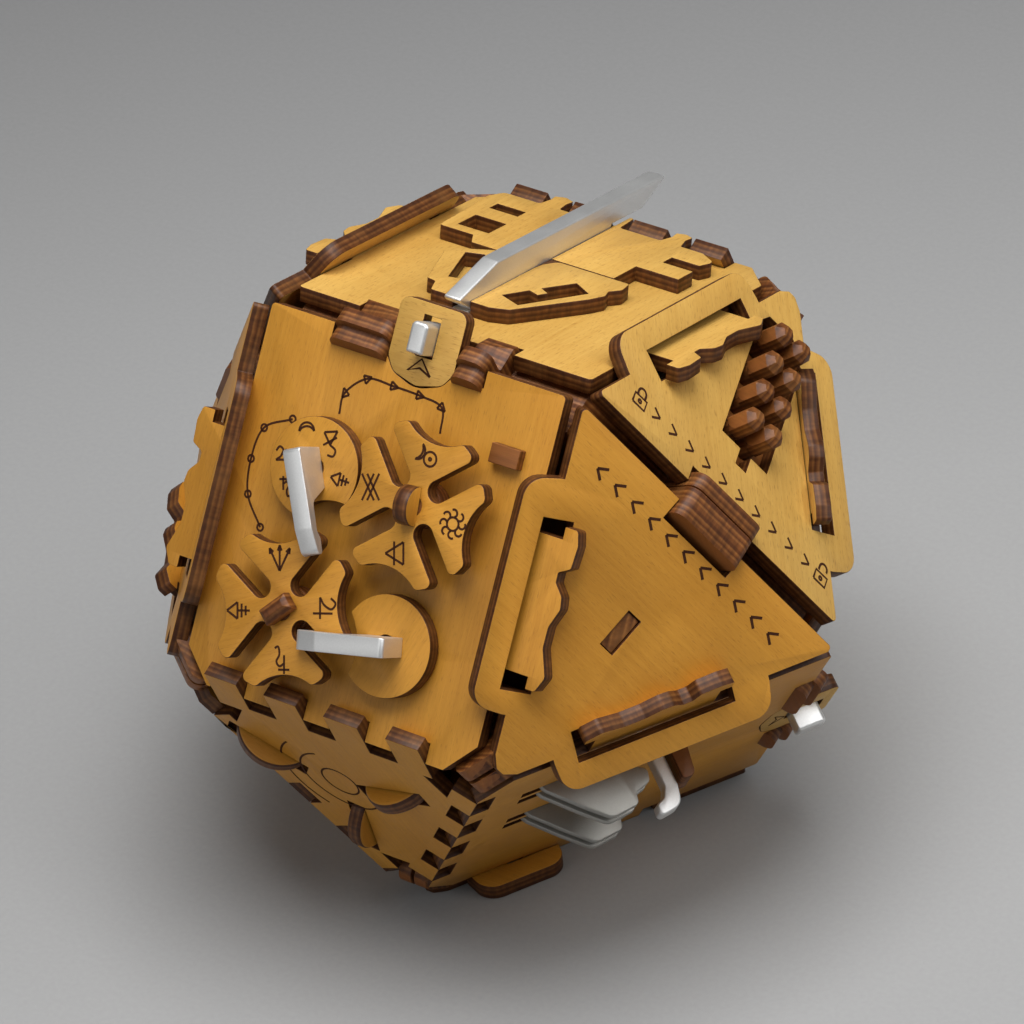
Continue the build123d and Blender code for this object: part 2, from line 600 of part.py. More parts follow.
def lever_shaft():
    """Shaft of the four levers with a bearing block at each end, glued under the square."""
    vy, vh = LEVER_PIVOT
    middle = at(LEVERS[0] + LEVERS[3]) / 2
    length = at(LEVERS[3] - LEVERS[0]) + 12.0
    shaft = Pos(middle, at(vy), at(vh)) * Rot(0, 90, 0) * Cylinder(SHAFT_R, length)
    for swing in (-1, 1):
        drop = at(vh) - 3.0
        shaft += Pos(middle + swing * (length / 2 - 1.5), at(vy), (drop - PLY) / 2) * Box(3.0, 8.0, -drop - PLY)
    return RIGHT_LOW.location * shaft


def hook():
    """Thick aluminium hook that slides in its slot on the lower right square."""
    low, high = HOOK_Y
    outline = rounded([(low, -0.062, 0), (low, 0.095, 0.03), (low + 0.012, 0.150, 0.035), (0.006, 0.160, 0.012),
                       (0.002, 0.126, 0.012), (-0.022, 0.116, 0.012), (high, 0.090, 0.03), (high, -0.062, 0)])
    plate = Pos(-METAL / 2, 0, 0) * Rot(0, 0, 90) * Rot(90, 0, 0) * extrude(outline, METAL)
    return RIGHT_LOW.location * (Pos(at(HOOK_X), 0, 0) * plate)


def hook_guide():
    """Brown rounded guide glued on the square behind the hook."""
    block = rounded([(-0.135, 0, 0), (-0.085, 0, 0), (-0.085, 0.095, 0.010), (-0.120, 0.095, 0.018)])
    plate = Pos(-at(0.05), 0, 0) * Rot(0, 0, 90) * Rot(90, 0, 0) * extrude(block, at(0.10))
    return RIGHT_LOW.location * (Pos(at(HOOK_X), 0, 0) * plate)


# ---- assembly -----------------------------------------------------------------------------
NODES = {}
for panel_name in SQUARES:
    NODES[panel_name] = build_square(panel_name)
for panel_name in TRIANGLES:
    NODES[panel_name] = build_triangle(panel_name)
NODES["cap_low"] = lay_cap(-1)
NODES["cap_up"] = lay_cap(1)
lower_deck = deck(DECK_TOP - 2 * PLY, 55.3, 0.868, 0.889) + deck(DECK_TOP - PLY, 55.3, 0.889, 0.889)
for panel_name in LOW_SQUARES:
    lower_deck -= NODES[panel_name]
NODES["deck_low"] = lower_deck.solids().sort_by(SortBy.VOLUME)[-1] - Cylinder(AXLE_R, 30)
upper_deck = deck(DECK_TOP + 0.3, 54.0, 0, 0.889) + upper_knuckles(DECK_TOP + 0.3)
NODES["deck_up"] = upper_deck.solids().sort_by(SortBy.VOLUME)[-1] - Cylinder(AXLE_R + RUN, 30)
turning = Pos(0, 0, DECK_TOP - 2 * PLY + 6.4) * Cylinder(AXLE_R, 12.8)
turning += Pos(0, 0, DECK_TOP + 0.6 + PLY + 1.5) * Cylinder(AXLE_R + 4, 3.0)
NODES["turning_axle"] = turning
NODES["corner_posts_low"] = Compound(children=corner_posts(-1))
NODES["corner_posts_up"] = Compound(children=corner_posts(1))
for number in range(3):
    NODES[f"pointer_{number + 1}"] = pointer(number)
    NODES[f"knob_{number + 1}"] = knob(number)
    NODES[f"thumb_wheel_{number + 1}"] = thumb_wheel(number)
NODES["thumb_axles"] = thumb_axles()
NODES["wheel_pivots"] = wheel_pivots()
for number in range(2):
    NODES[f"star_{number + 1}"] = star_wheel(number)
    NODES[f"hub_key_{number + 1}"] = hub_key(number)
    NODES[f"crank_disc_{number + 1}"] = crank_disc(number)
    NODES[f"crank_arm_{number + 1}"] = crank_arm(number)
NODES["front_pegs"] = front_pegs()
NODES["fin"] = fin()
for number, label in enumerate(("right_low", "right_high", "left_low", "left_high")):
    NODES[f"overlay_{label}"] = overlay(number)
NODES["peg_rack"] = peg_rack()
for number in range(8):
    NODES[f"row_peg_{number + 1}"] = row_peg(number)
for number in range(4):
    NODES[f"lever_{number + 1}"] = rocking_lever(number)
NODES["lever_shaft"] = lever_shaft()
NODES["hook"] = hook()
NODES["hook_guide"] = hook_guide()

os.makedirs("parts", exist_ok=True)
for node, shape in NODES.items():
    export_step(ROW * shape, f"parts/{node}.step")
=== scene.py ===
import json
import logging
import math
from dataclasses import dataclass, field
from enum import Enum

import bmesh
import bpy
import numpy as np
from mathutils import Euler, Matrix, Vector


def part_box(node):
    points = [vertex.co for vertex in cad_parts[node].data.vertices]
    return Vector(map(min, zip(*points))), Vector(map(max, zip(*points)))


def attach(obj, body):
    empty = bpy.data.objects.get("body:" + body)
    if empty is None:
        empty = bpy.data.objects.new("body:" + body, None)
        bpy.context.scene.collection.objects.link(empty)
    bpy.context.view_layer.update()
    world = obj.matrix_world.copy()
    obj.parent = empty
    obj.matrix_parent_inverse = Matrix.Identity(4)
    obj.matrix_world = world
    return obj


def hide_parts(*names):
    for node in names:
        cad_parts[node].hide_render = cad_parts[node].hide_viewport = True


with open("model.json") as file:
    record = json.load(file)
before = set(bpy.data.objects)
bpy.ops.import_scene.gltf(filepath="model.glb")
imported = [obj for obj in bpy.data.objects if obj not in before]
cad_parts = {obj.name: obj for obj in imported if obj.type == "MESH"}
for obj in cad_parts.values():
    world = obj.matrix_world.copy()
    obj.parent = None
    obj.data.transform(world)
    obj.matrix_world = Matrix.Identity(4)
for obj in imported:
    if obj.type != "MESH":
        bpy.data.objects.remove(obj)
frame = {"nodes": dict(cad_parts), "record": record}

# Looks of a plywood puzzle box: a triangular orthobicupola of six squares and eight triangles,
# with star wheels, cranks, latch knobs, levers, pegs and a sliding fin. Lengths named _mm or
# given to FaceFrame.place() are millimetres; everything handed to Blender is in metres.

LOG = logging.getLogger("puzzle_box")
EDGE_MM = 72.0
PLY_MM = 3.0
MM = 0.001
TILT = math.radians(70.5288)
SLANT = math.radians(54.7356)
CAP_DIST_MM = math.sqrt(2.0 / 3.0) * EDGE_MM
SQUARE_DIST_MM = math.sqrt(0.5) * EDGE_MM
DECK_TOP_MM = 2.2          # top of the lower deck, along the turning axis
WHEEL_DEEP_MM = 4.85       # depth of the thumb wheels' axles under the cap
LINE_THICK_MM = 0.06       # thickness of an engraved line's ribbon
LINE_RISE_MM = 0.03        # height of an engraved line above its plate
MERGE_M = 2e-6             # distance below which a CAD mesh's corners are one
EDGE_FACING = 0.80         # a surface leaning more than this from its plate's normal is a cut edge


class FaceKind(Enum):
    """Kinds of face that the solid has."""

    SQUARE = "square"
    TRIANGLE = "triangle"
    CAP = "cap"


class Half(Enum):
    """The two halves, by the sign of the turning axis."""

    LOW = -1
    UP = 1


def to_row(vector: np.ndarray) -> np.ndarray:
    """Turn a direction from the turning-axis frame into the frame the object stands in.

    Args:
        vector: direction whose third part runs along the turning axis.

    Returns:
        The direction turned about X, so that the rest triangle faces down.
    """
    cosine, sine = math.cos(TILT), math.sin(TILT)
    turn = np.array([[1, 0, 0], [0, cosine, sine], [0, -sine, cosine]])
    return turn @ vector


@dataclass(frozen=True)
class FaceFrame:
    """Flat frame on a face: u along it, v towards the cap, n outwards."""

    kind: FaceKind
    azimuth: float
    half: Half

    def axes(self) -> tuple[np.ndarray, np.ndarray, np.ndarray, np.ndarray]:
        """Work out the frame from the face's azimuth and lean.

        Returns:
            Origin in millimetres and the unit vectors u, v and n, in the standing frame.
        """
        turn = math.radians(self.azimuth)
        side = float(self.half.value)
        radial = np.array([math.cos(turn), math.sin(turn), 0.0])
        axis = np.array([0.0, 0.0, side])
        if self.kind is FaceKind.CAP:
            normal, towards, distance = axis, np.array([1.0, 0.0, 0.0]), CAP_DIST_MM
        else:
            lean = SLANT if self.kind is FaceKind.SQUARE else TILT
            normal = radial * math.sin(lean) + axis * math.cos(lean)
            towards = axis - normal * float(axis @ normal)
            towards = towards / np.linalg.norm(towards)
            distance = SQUARE_DIST_MM if self.kind is FaceKind.SQUARE else CAP_DIST_MM
        across = np.cross(towards, normal)
        origin = to_row(normal * distance) + np.array([0.0, 0.0, CAP_DIST_MM])
        return origin, to_row(across), to_row(towards), to_row(normal)

    def place(self, points_mm: np.ndarray) -> np.ndarray:
        """Put local points on the face: origin plus each part times its own direction.

        Args:
            points_mm: rows of u, v and height in millimetres.

        Returns:
            The points in the standing frame, in metres.
        """
        origin, u, v, n = self.axes()
        world = origin + points_mm[:, :1] * u + points_mm[:, 1:2] * v + points_mm[:, 2:3] * n
        return world * MM

    def turned(self, turn_deg: float, x: float, y: float, top_mm: float) -> "PlateFrame":
        """Frame of a plate lying on this face, turned about the face's normal.

        Args:
            turn_deg: turn of the grain from u towards v.
            x: place along u, in edge lengths.
            y: place along v, in edge lengths.
            top_mm: height of the plate's top above the face.

        Returns:
            The plate's frame.
        """
        origin, u, v, n = self.axes()
        angle = math.radians(turn_deg)
        along = u * math.cos(angle) + v * math.sin(angle)
        across = v * math.cos(angle) - u * math.sin(angle)
        centre = origin + u * x * EDGE_MM + v * y * EDGE_MM + n * top_mm
        return PlateFrame(tuple(centre), tuple(along), tuple(across), tuple(n))


@dataclass(frozen=True)
class PlateFrame:
    """Frame of one plywood plate: its top's origin and its grain, cross and face directions."""

    origin: tuple[float, float, float]
    along: tuple[float, float, float]
    across: tuple[float, float, float]
    normal: tuple[float, float, float]

    def mapping(self) -> tuple[Vector, Euler]:
        """Turn the frame into what a Mapping node needs, for metres into local millimetres.

        Returns:
            Location and rotation.
        """
        rows = Matrix((self.along, self.across, self.normal))
        offset = rows @ Vector(self.origin)
        return -offset, rows.to_euler("XYZ")


FRONT_LOW = FaceFrame(FaceKind.SQUARE, 270, Half.LOW)
FRONT_UP = FaceFrame(FaceKind.SQUARE, 270, Half.UP)
RIGHT_LOW = FaceFrame(FaceKind.SQUARE, 30, Half.LOW)
TRIANGLE_LOW = FaceFrame(FaceKind.TRIANGLE, 330, Half.LOW)
TRIANGLE_UP = FaceFrame(FaceKind.TRIANGLE, 330, Half.UP)
CAP_LOW = FaceFrame(FaceKind.CAP, 0, Half.LOW)
CAP_UP = FaceFrame(FaceKind.CAP, 0, Half.UP)


# ---- shader helpers ----------------------------------------------------------------------------
class Nodes:
    """Small wrapper that adds and joins shader nodes in one tree."""

    def __init__(self, tree: bpy.types.NodeTree) -> None:
        """Keep the tree that the nodes go into."""
        self.tree = tree

    def add(self, kind: str, **values: object) -> bpy.types.Node:
        """Add one node and set its plain properties.

        Args:
            kind: the node's type.
            **values: property names and values.

        Returns:
            The node.
        """
        node = self.tree.nodes.new(kind)
        for name, value in values.items():
            setattr(node, name, value)
        return node

    def join(self, source: bpy.types.NodeSocket, target: bpy.types.NodeSocket) -> None:
        """Link an output to an input."""
        self.tree.links.new(source, target)

    def math(self, operation: str, first: object, second: object = 0.0,
             clamp: bool = False) -> bpy.types.NodeSocket:
        """Add a Math node.

        Args:
            operation: the node's operation.
            first: socket or number.
            second: socket or number.
            clamp: whether the result is kept from 0 to 1.

        Returns:
            The result's socket.
        """
        node = self.add("ShaderNodeMath", operation=operation, use_clamp=clamp)
        for index, value in enumerate((first, second)):
            if isinstance(value, bpy.types.NodeSocket):
                self.join(value, node.inputs[index])
            else:
                node.inputs[index].default_value = float(value)
        return node.outputs[0]

    def mix(self, factor: object, first: object, second: object,
            blend: str = "MIX") -> bpy.types.NodeSocket:
        """Add a colour Mix node.

        Args:
            factor: socket or number.
            first: socket or colour at factor 0.
            second: socket or colour at factor 1.
            blend: the node's blend type.

        Returns:
            The colour's socket.
        """
        node = self.add("ShaderNodeMix", data_type="RGBA", blend_type=blend)
        for index, value in ((0, factor), (6, first), (7, second)):
            if isinstance(value, bpy.types.NodeSocket):
                self.join(value, node.inputs[index])
            elif index == 0:
                node.inputs[index].default_value = float(value)
            else:
                node.inputs[index].default_value = value
        return node.outputs[2]

    def noise(self, vector: bpy.types.NodeSocket, detail: float) -> bpy.types.NodeSocket:
        """Add a Noise texture of unit scale.

        Args:
            vector: where the noise is read.
            detail: number of finer layers.

        Returns:
            The factor's socket.
        """
        node = self.add("ShaderNodeTexNoise")
        node.inputs["Scale"].default_value = 1.0
        node.inputs["Detail"].default_value = detail
        self.join(vector, node.inputs["Vector"])
        return node.outputs["Fac"]

    def stretch(self, vector: bpy.types.NodeSocket,
                scale: tuple[float, float, float]) -> bpy.types.NodeSocket:
        """Scale a vector differently along its three directions.

        Args:
            vector: the vector's socket.
            scale: factor for each direction.

        Returns:
            The scaled vector's socket.
        """
        node = self.add("ShaderNodeVectorMath", operation="MULTIPLY")
        self.join(vector, node.inputs[0])
        node.inputs[1].default_value = scale
        return node.outputs[0]

    def ramp(self, factor: bpy.types.NodeSocket,
             stops: list[tuple[float, tuple[float, ...]]]) -> bpy.types.NodeSocket:
        """Add a colour ramp.

        Args:
            factor: where the ramp is read.
            stops: positions and colours.

        Returns:
            The colour's socket.
        """
        node = self.add("ShaderNodeValToRGB")
        elements = node.color_ramp.elements
        while len(elements) < len(stops):
            elements.new(0.5)
        for element, (position, colour) in zip(elements, stops):
            element.position = position
            element.color = tuple(colour) + (1.0,) * (4 - len(colour))
        self.join(factor, node.inputs[0])
        return node.outputs[0]


def new_group(name: str, inputs: dict[str, str], outputs: dict[str, str]) -> tuple[Nodes, dict, dict]:
    """Start a shader node group.

    Args:
        name: the group's name.
        inputs: socket name to socket type.
        outputs: socket name to socket type.

    Returns:
        The group's nodes, its input sockets and its output sockets.
    """
    tree = bpy.data.node_groups.new(name, "ShaderNodeTree")
    for label, kind in inputs.items():
        tree.interface.new_socket(name=label, in_out="INPUT", socket_type=kind)
    for label, kind in outputs.items():
        tree.interface.new_socket(name=label, in_out="OUTPUT", socket_type=kind)
    nodes = Nodes(tree)
    entry = nodes.add("NodeGroupInput")
    leave = nodes.add("NodeGroupOutput")
    return nodes, {key: entry.outputs[key] for key in inputs}, {key: leave.inputs[key] for key in outputs}


def grain_group() -> bpy.types.NodeTree:
    """Birch veneer: slow mottling, long fibres and short dark pores, from local millimetres.

    Returns:
        The group.
    """
    nodes, given, out = new_group("birch_grain", {"Vector": "NodeSocketVector"},
                                  {"Tone": "NodeSocketFloat", "Pores": "NodeSocketFloat",
                                   "Height": "NodeSocketFloat"})
    vector = given["Vector"]
    fibre = nodes.noise(nodes.stretch(vector, (0.045, 1.3, 1.0)), 5.0)
    fine = nodes.noise(nodes.stretch(vector, (0.35, 5.0, 1.0)), 3.0)
    cloud = nodes.noise(nodes.stretch(vector, (0.035, 0.06, 1.0)), 2.0)
    pores = nodes.noise(nodes.stretch(vector, (0.6, 4.2, 1.0)), 1.0)
    pores = nodes.math("MULTIPLY", nodes.math("SUBTRACT", pores, 0.60), 9.0, clamp=True)
    tone = nodes.math("MULTIPLY", nodes.math("SUBTRACT", fibre, 0.5), 0.9)
    tone = nodes.math("ADD", tone, nodes.math("MULTIPLY", nodes.math("SUBTRACT", fine, 0.5), 0.55))
    tone = nodes.math("ADD", tone, nodes.math("MULTIPLY", nodes.math("SUBTRACT", cloud, 0.5), 1.1))
    tone = nodes.math("ADD", tone, 0.5, clamp=True)
    height = nodes.math("SUBTRACT", nodes.math("ADD", fine, nodes.math("MULTIPLY", fibre, 0.6)), pores)
    nodes.join(tone, out["Tone"])
    nodes.join(pores, out["Pores"])
    nodes.join(height, out["Height"])
    return nodes.tree


def layer_group() -> bpy.types.NodeTree:
    """Burnt plywood edge: dark and lighter layers by depth, with scorch streaks.

    Returns:
        The group.
    """
    nodes, given, out = new_group("burnt_layers", {"Vector": "NodeSocketVector"},
                                  {"Color": "NodeSocketColor", "Height": "NodeSocketFloat"})
    split = nodes.add("ShaderNodeSeparateXYZ")
    nodes.join(given["Vector"], split.inputs[0])
    wobble = nodes.noise(nodes.stretch(given["Vector"], (0.5, 0.5, 0.5)), 2.0)
    depth = nodes.math("DIVIDE", nodes.math("MULTIPLY", split.outputs[2], -1.0), PLY_MM)
    depth = nodes.math("ADD", depth, nodes.math("MULTIPLY", nodes.math("SUBTRACT", wobble, 0.5), 0.10))
    depth = nodes.math("FRACT", nodes.math("ADD", depth, 10.0))
    dark, mid, light = (0.120, 0.036, 0.008), (0.200, 0.066, 0.014), (0.330, 0.130, 0.032)
    layers = nodes.ramp(depth, [(0.0, mid), (0.10, dark), (0.24, dark), (0.34, light), (0.48, mid),
                                (0.58, dark), (0.72, light), (0.82, mid), (1.0, mid)])
    streak = nodes.noise(nodes.stretch(given["Vector"], (1.1, 1.1, 0.25)), 4.0)
    soot = nodes.noise(nodes.stretch(given["Vector"], (0.12, 0.12, 0.12)), 2.0)
    factor = nodes.math("MULTIPLY", nodes.math("SUBTRACT", streak, 0.35), 1.6, clamp=True)
    shade = nodes.mix(factor, (0.50, 0.46, 0.42, 1.0), (1.30, 1.26, 1.2, 1.0))
    colour = nodes.mix(1.0, layers, shade, "MULTIPLY")
    bright = nodes.math("MULTIPLY", nodes.math("SUBTRACT", soot, 0.52), 3.0, clamp=True)
    colour = nodes.mix(nodes.math("MULTIPLY", bright, 0.45), colour, (0.36, 0.16, 0.045, 1.0))
    nodes.join(colour, out["Color"])
    nodes.join(nodes.math("ADD", streak, depth), out["Height"])
    return nodes.tree


def brush_group() -> bpy.types.NodeTree:
    """Blasted aluminium: fine grit and a slow roughness drift, from object millimetres.

    Returns:
        The group.
    """
    nodes, given, out = new_group("blasted_metal", {"Vector": "NodeSocketVector"},
                                  {"Grit": "NodeSocketFloat", "Drift": "NodeSocketFloat"})
    grit = nodes.noise(nodes.stretch(given["Vector"], (3.2, 3.2, 3.2)), 4.0)
    drift = nodes.noise(nodes.stretch(given["Vector"], (0.12, 0.12, 0.12)), 2.0)
    nodes.join(grit, out["Grit"])
    nodes.join(drift, out["Drift"])
    return nodes.tree


class Groups:
    """The shared node groups, each built once."""

    def __init__(self) -> None:
        """Build the groups."""
        self.grain = grain_group()
        self.layers = layer_group()
        self.brush = brush_group()


def start_material(name: str) -> tuple[bpy.types.Material, Nodes, bpy.types.Node]:
    """Make an empty node material with its Principled shader and output.

    Args:
        name: the material's name.

    Returns:
        The material, its nodes and its shader.
    """
    material = bpy.data.materials.new(name)
    material.use_nodes = True
    material.node_tree.nodes.clear()
    nodes = Nodes(material.node_tree)
    shader = nodes.add("ShaderNodeBsdfPrincipled")
    output = nodes.add("ShaderNodeOutputMaterial")
    nodes.join(shader.outputs[0], output.inputs[0])
    return material, nodes, shader


@dataclass(frozen=True)
class PlywoodFinish:
    """Stained birch plywood with laser-burnt edges."""

    name: str
    light: tuple[float, float, float]
    dark: tuple[float, float, float]
    pore: tuple[float, float, float] = (0.20, 0.080, 0.014)
    pore_strength: float = 0.28
    roughness: float = 0.46
    edge_gain: float = 0.62

    def material(self, groups: Groups, plate: PlateFrame, label: str) -> bpy.types.Material:
        """Material for one plate, its pattern laid in the plate's own plane.

        Args:
            groups: the shared node groups.
            plate: the plate's frame.
            label: ending of the material's name.

        Returns:
            The material.
        """
        material, nodes, shader = start_material(f"{self.name}_{label}")
        coords = nodes.add("ShaderNodeTexCoord")
        location, rotation = plate.mapping()
        place = nodes.add("ShaderNodeMapping", vector_type="POINT")
        place.inputs["Location"].default_value = location
        place.inputs["Rotation"].default_value = rotation
        place.inputs["Scale"].default_value = (1 / MM, 1 / MM, 1 / MM)
        nodes.join(coords.outputs["Object"], place.inputs["Vector"])
        grain = nodes.add("ShaderNodeGroup", node_tree=groups.grain)
        layers = nodes.add("ShaderNodeGroup", node_tree=groups.layers)
        shift = nodes.add("ShaderNodeVectorMath", operation="ADD")
        seed = sum(ord(letter) * (index + 3) for index, letter in enumerate(label)) % 211
        shift.inputs[1].default_value = (seed * 1.7, seed * 0.9, float(seed))
        nodes.join(place.outputs[0], shift.inputs[0])
        nodes.join(shift.outputs[0], grain.inputs[0])
        nodes.join(place.outputs[0], layers.inputs[0])
        facing = nodes.add("ShaderNodeVectorMath", operation="DOT_PRODUCT")
        nodes.join(coords.outputs["Normal"], facing.inputs[0])
        facing.inputs[1].default_value = plate.normal
        edge = nodes.math("LESS_THAN", nodes.math("ABSOLUTE", facing.outputs["Value"]), EDGE_FACING)
        veneer = nodes.mix(grain.outputs["Tone"], self.dark + (1.0,), self.light + (1.0,))
        pores = nodes.math("MULTIPLY", grain.outputs["Pores"], self.pore_strength)
        veneer = nodes.mix(pores, veneer, self.pore + (1.0,))
        gain = (self.edge_gain, self.edge_gain, self.edge_gain, 1.0)
        burnt = nodes.mix(1.0, layers.outputs["Color"], gain, "MULTIPLY")
        nodes.join(nodes.mix(edge, veneer, burnt), shader.inputs["Base Color"])
        rough = nodes.math("ADD", self.roughness - 0.05, nodes.math("MULTIPLY", grain.outputs["Tone"], 0.10))
        nodes.join(nodes.math("ADD", rough, nodes.math("MULTIPLY", edge, 0.02)), shader.inputs["Roughness"])
        bump = nodes.add("ShaderNodeBump")
        bump.inputs["Strength"].default_value = 0.18
        bump.inputs["Distance"].default_value = 0.00006
        relief = nodes.add("ShaderNodeMix", data_type="FLOAT")
        nodes.join(edge, relief.inputs[0])
        nodes.join(grain.outputs["Height"], relief.inputs[2])
        nodes.join(layers.outputs["Height"], relief.inputs[3])
        nodes.join(relief.outputs[0], bump.inputs["Height"])
        nodes.join(bump.outputs[0], shader.inputs["Normal"])
        shader.inputs["Specular IOR Level"].default_value = 0.30
        return material


@dataclass(frozen=True)
class MetalFinish:
    """Satin blasted aluminium with faint grit."""

    name: str = "satin_aluminium"
    base: tuple[float, float, float] = (0.84, 0.84, 0.83)
    roughness: float = 0.40

    def material(self, groups: Groups) -> bpy.types.Material:
        """Material shared by every aluminium piece of one kind.

        Args:
            groups: the shared node groups.

        Returns:
            The material.
        """
        material, nodes, shader = start_material(self.name)
        coords = nodes.add("ShaderNodeTexCoord")
        vector = nodes.stretch(coords.outputs["Object"], (1 / MM, 1 / MM, 1 / MM))
        brush = nodes.add("ShaderNodeGroup", node_tree=groups.brush)
        nodes.join(vector, brush.inputs[0])
        dull = tuple(0.86 * channel for channel in self.base)
        colour = nodes.mix(brush.outputs["Grit"], dull + (1.0,), self.base + (1.0,))
        nodes.join(colour, shader.inputs["Base Color"])
        rough = nodes.math("ADD", self.roughness, nodes.math("MULTIPLY", brush.outputs["Drift"], 0.14))
        nodes.join(rough, shader.inputs["Roughness"])
        shader.inputs["Metallic"].default_value = 0.92
        bump = nodes.add("ShaderNodeBump")
        bump.inputs["Strength"].default_value = 0.35
        bump.inputs["Distance"].default_value = 0.00004
        nodes.join(brush.outputs["Grit"], bump.inputs["Height"])
        nodes.join(bump.outputs[0], shader.inputs["Normal"])
        return material


@dataclass(frozen=True)
class ScorchFinish:
    """Scorched brown of laser-engraved lines."""

    name: str = "engraved_scorch"
    base: tuple[float, float, float] = (0.032, 0.011, 0.005)

    def material(self) -> bpy.types.Material:
        """Material shared by every engraved line.

        Returns:
            The material.
        """
        material, nodes, shader = start_material(self.name)
        coords = nodes.add("ShaderNodeTexCoord")
        vector = nodes.stretch(coords.outputs["Object"], (1 / MM, 1 / MM, 1 / MM))
        char = nodes.noise(nodes.stretch(vector, (1.4, 1.4, 1.4)), 3.0)
        light = tuple(2.1 * channel for channel in self.base)
        nodes.join(nodes.mix(char, self.base + (1.0,), light + (1.0,)), shader.inputs["Base Color"])
        shader.inputs["Roughness"].default_value = 0.8
        shader.inputs["Specular IOR Level"].default_value = 0.12
        return material


# ---- carried-over plates and metal -------------------------------------------------------------
def body_of_node(node: str) -> str:
    """Name of the body that a CAD node belongs to."""
    bodies = frame["record"]["behaviour"]["bodies"]
    return next(name for name, members in bodies.items() if node in members)


@dataclass
class SoftEdged:
    """Merged copy of a CAD node with a small bevel on its edges, shown in the node's place."""

    node: str
    material: bpy.types.Material
    width_mm: float = 0.18
    segments: int = 2

    def build(self) -> bpy.types.Object:
        """Merge the node's triangles into flat faces and bevel the edges between them.

        Returns:
            The new object, riding on the node's body.
        """
        mesh = frame["nodes"][self.node].data.copy()
        mesh.name = f"soft_{self.node}"
        work = bmesh.new()
        work.from_mesh(mesh)
        bmesh.ops.remove_doubles(work, verts=work.verts, dist=MERGE_M)
        bmesh.ops.dissolve_limit(work, angle_limit=math.radians(0.6), verts=work.verts, edges=work.edges)
        bmesh.ops.recalc_face_normals(work, faces=work.faces)
        work.to_mesh(mesh)
        work.free()
        mesh.materials.clear()
        mesh.materials.append(self.material)
        mesh.shade_smooth()
        piece = bpy.data.objects.new(f"soft_{self.node}", mesh)
        bpy.context.scene.collection.objects.link(piece)
        bevel = piece.modifiers.new("edge", "BEVEL")
        bevel.width = self.width_mm * MM
        bevel.segments = self.segments
        bevel.limit_method = "ANGLE"
        bevel.angle_limit = math.radians(32)
        bevel.harden_normals = True
        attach(piece, body_of_node(self.node))
        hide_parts(self.node)
        return piece


# ---- engraved lines ----------------------------------------------------------------------------
Path = np.ndarray


def line(*points: tuple[float, float]) -> Path:
    """Polyline through the given points."""
    return np.array(points, dtype=float)


def arc(x: float, y: float, radius: float, start: float, end: float, count: int = 24) -> Path:
    """Points on a circle arc: centre plus radius times cosine and sine of the angle, in degrees."""
    angle = np.radians(np.linspace(start, end, count))
    return np.stack([x + radius * np.cos(angle), y + radius * np.sin(angle)], axis=1)


def smooth(points: Path, count: int = 60) -> Path:
    """Catmull-Rom curve through points: each span blends four neighbours with cubic weights.

    Args:
        points: points that the curve passes.
        count: number of points on the curve.

    Returns:
        The curve's points.
    """
    padded = np.vstack([2 * points[0] - points[1], points, 2 * points[-1] - points[-2]])
    where = np.linspace(0, len(points) - 1 - 1e-6, count)
    index = where.astype(int)
    t = (where - index)[:, None]
    a, b, c, d = padded[index], padded[index + 1], padded[index + 2], padded[index + 3]
    return 0.5 * (2 * b + (c - a) * t + (2 * a - 5 * b + 4 * c - d) * t ** 2
                  + (3 * b - a - 3 * c + d) * t ** 3)


def moved(path: Path, x: float, y: float, turn_deg: float = 0.0, scale: float = 1.0) -> Path:
    """Scale, turn and then shift a path.

    Args:
        path: the path's points.
        x: shift along u.
        y: shift along v.
        turn_deg: turn from u towards v.
        scale: size factor.

    Returns:
        The path's new points.
    """
    angle = math.radians(turn_deg)
    spin = np.array([[math.cos(angle), math.sin(angle)], [-math.sin(angle), math.cos(angle)]])
    return scale * path @ spin + np.array([x, y])


def ribbon(path: Path, width: float, height: float) -> tuple[np.ndarray, np.ndarray]:
    """Flat bar along a path: each point gives four corners, half the width to either side.

    The side direction is the path's mean direction turned a quarter, and the bar is 0.06 mm
    thick with its top at the given height. Quads join neighbouring corners, and two quads
    close the ends.

    Args:
        path: points in face millimetres.
        width: width of the line in millimetres.
        height: height of its top above the face.

    Returns:
        Vertices (u, v, height) and quads.
    """
    step = np.gradient(path, axis=0)
    step = step / np.maximum(np.linalg.norm(step, axis=1, keepdims=True), 1e-9)
    side = np.stack([-step[:, 1], step[:, 0]], axis=1) * width / 2
    low = height - LINE_THICK_MM
    left, right = path + side, path - side
    count = len(path)
    corners = [np.column_stack([edge, np.full(count, level)])
               for edge, level in ((left, height), (right, height), (right, low), (left, low))]
    vertices = np.stack(corners, axis=1).reshape(-1, 3)
    base = 4 * np.arange(count - 1)[:, None]
    ring = np.arange(4)[None, :]
    after = (ring + 1) % 4
    quads = np.stack([base + ring, base + after, base + 4 + after, base + 4 + ring], axis=2).reshape(-1, 4)
    last = 4 * (count - 1)
    ends = np.array([[3, 2, 1, 0], [last, last + 1, last + 2, last + 3]])
    return vertices, np.vstack([quads, ends])


